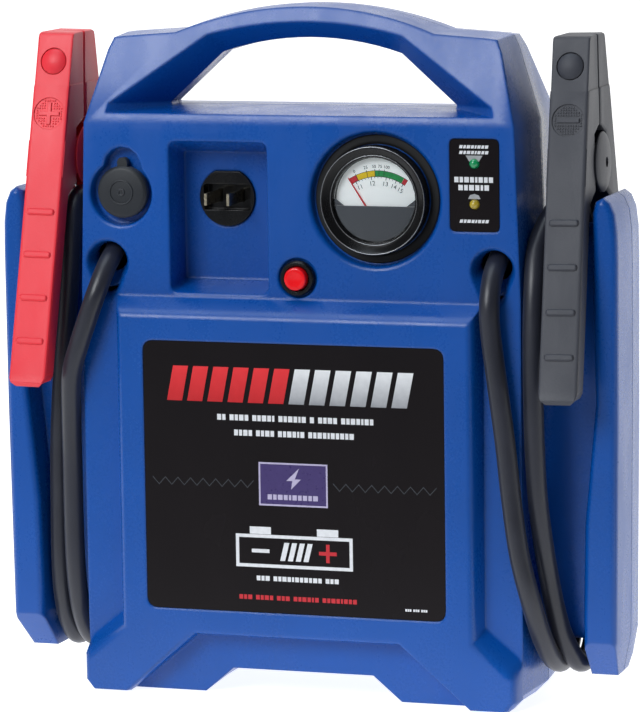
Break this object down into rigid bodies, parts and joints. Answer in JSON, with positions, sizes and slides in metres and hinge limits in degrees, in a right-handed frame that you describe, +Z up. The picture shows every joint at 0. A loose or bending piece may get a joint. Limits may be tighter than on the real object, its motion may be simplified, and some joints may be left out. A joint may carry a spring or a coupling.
{
  "type": "jump starter pack",
  "caption": "Portable vehicle jump starter: a two-shell case with an arched carry handle, a voltmeter, charging inlet, outlet, and two booster clamps stowed on wrapped leads.",
  "frame": {"origin": "centre of the bounding box of everything but the leads, on the floor plane", "axes": "+X to the right seen from the front, -Y out of the front face, +Z up"},
  "size_m": [0.3476, 0.129, 0.374],
  "materials": {
    "amber_lamp": "tinted clear plastic",
    "battery": "grey battery case",
    "battery_terminal_negative": "lead alloy post",
    "battery_terminal_positive": "lead alloy post",
    "black_front_grip": "satin black plastic",
    "black_front_jaw_plate": "plain copper alloy",
    "black_front_rivet": "satin black plastic",
    "black_lead": "matt black insulation",
    "black_pivot_pin": "plain steel",
    "black_rear_grip": "satin black plastic",
    "black_rear_jaw_plate": "plain copper alloy",
    "black_rear_rivet": "satin black plastic",
    "black_spring": "plain steel",
    "button_housing": "black plastic",
    "case_screw_1": "plain steel",
    "case_screw_2": "plain steel",
    "case_screw_3": "plain steel",
    "case_screw_4": "plain steel",
    "case_screw_5": "plain steel",
    "case_screw_6": "plain steel",
    "charge_blade_left": "plated blade",
    "charge_blade_right": "plated blade",
    "charge_inlet": "black plastic",
    "charger_board": "green board",
    "charger_transformer": "varnished laminations and winding",
    "circuit_breaker": "black plastic",
    "front_label": "plain dark printed film",
    "front_shell": "satin moulded blue plastic",
    "green_lamp": "tinted clear plastic",
    "lamp_board": "green board",
    "lead_bar_negative": "plain copper alloy",
    "lead_bar_positive": "plain copper alloy",
    "meter_cover": "black plastic",
    "meter_dial": "white painted dial with a plain scale",
    "meter_housing": "black plastic",
    "meter_lens": "clear window",
    "meter_needle": "thin red pointer",
    "outlet_cap": "matt moulded rubber",
    "outlet_contact": "centre contact",
    "outlet_socket": "plain steel",
    "rear_label": "plain dark printed film",
    "rear_shell": "satin moulded blue plastic",
    "red_front_grip": "satin red plastic",
    "red_front_jaw_plate": "plain copper alloy",
    "red_front_rivet": "satin red plastic",
    "red_lead": "matt black insulation",
    "red_pivot_pin": "plain steel",
    "red_rear_grip": "satin red plastic",
    "red_rear_jaw_plate": "plain copper alloy",
    "red_rear_rivet": "satin red plastic",
    "red_spring": "plain steel",
    "status_label": "plain dark printed film",
    "terminal_bolt_negative": "plain steel",
    "terminal_bolt_positive": "plain steel",
    "test_button": "glossy red cap"
  },
  "bodies": {
    "case": {"amber_lamp": "amber_lamp", "battery": "battery", "battery_terminal_negative": "battery_terminal_negative", "battery_terminal_positive": "battery_terminal_positive", "black_lead": "black_lead", "black_pivot_pin": "black_pivot_pin", "black_rear_grip": "black_rear_grip", "black_rear_jaw_plate": "black_rear_jaw_plate", "black_rear_rivet": "black_rear_rivet", "black_spring": "black_spring", "button_housing": "button_housing", "case_screw_1": "case_screw_1", "case_screw_2": "case_screw_2", "case_screw_3": "case_screw_3", "case_screw_4": "case_screw_4", "case_screw_5": "case_screw_5", "case_screw_6": "case_screw_6", "charge_blade_left": "charge_blade_left", "charge_blade_right": "charge_blade_right", "charge_inlet": "charge_inlet", "charger_board": "charger_board", "charger_transformer": "charger_transformer", "circuit_breaker": "circuit_breaker", "front_label": "front_label", "front_shell": "front_shell", "green_lamp": "green_lamp", "lamp_board": "lamp_board", "lead_bar_negative": "lead_bar_negative", "lead_bar_positive": "lead_bar_positive", "meter_cover": "meter_cover", "meter_dial": "meter_dial", "meter_housing": "meter_housing", "meter_lens": "meter_lens", "outlet_contact": "outlet_contact", "outlet_socket": "outlet_socket", "rear_label": "rear_label", "rear_shell": "rear_shell", "red_lead": "red_lead", "red_pivot_pin": "red_pivot_pin", "red_rear_grip": "red_rear_grip", "red_rear_jaw_plate": "red_rear_jaw_plate", "red_rear_rivet": "red_rear_rivet", "red_spring": "red_spring", "status_label": "status_label", "terminal_bolt_negative": "terminal_bolt_negative", "terminal_bolt_positive": "terminal_bolt_positive"},
    "red_clamp_front": {"red_front_grip": "red_front_grip", "red_front_jaw_plate": "red_front_jaw_plate", "red_front_rivet": "red_front_rivet"},
    "black_clamp_front": {"black_front_grip": "black_front_grip", "black_front_jaw_plate": "black_front_jaw_plate", "black_front_rivet": "black_front_rivet"},
    "test_button": {"test_button": "test_button"},
    "outlet_cap": {"outlet_cap": "outlet_cap"},
    "meter_needle": {"meter_needle": "meter_needle"}
  },
  "joints": [
    {"name": "red_clamp_squeeze", "type": "hinge", "parent": "case", "child": "red_clamp_front", "pos_m": [-0.1465, 0, 0.29], "axis": [0.9998, 0, -0.0182], "range_deg": [0, 4.5], "stiffness_Nm_per_rad": 4, "springref_deg": -34.38, "deforming": ["red_spring"]},
    {"name": "black_clamp_squeeze", "type": "hinge", "parent": "case", "child": "black_clamp_front", "pos_m": [0.1465, 0, 0.29], "axis": [0.9998, 0, 0.0182], "range_deg": [0, 8], "stiffness_Nm_per_rad": 4, "springref_deg": -34.38, "deforming": ["black_spring"]},
    {"name": "test_button_press", "type": "slide", "parent": "case", "child": "test_button", "axis": [0, 1, 0], "range_m": [0, 0.0025], "stiffness_N_per_m": 400, "springref_m": -0.0015},
    {"name": "outlet_cap_lift", "type": "hinge", "parent": "case", "child": "outlet_cap", "pos_m": [-0.0993, -0.0386, 0.29], "axis": [-1, 0, 0], "range_deg": [0, 95]},
    {"name": "meter_needle_swing", "type": "hinge", "parent": "case", "child": "meter_needle", "pos_m": [0.0448, -0.0396, 0.258], "axis": [0, 1, 0], "range_deg": [0, 65], "stiffness_Nm_per_rad": 0.0004, "springref_deg": -17.19}
  ]
}
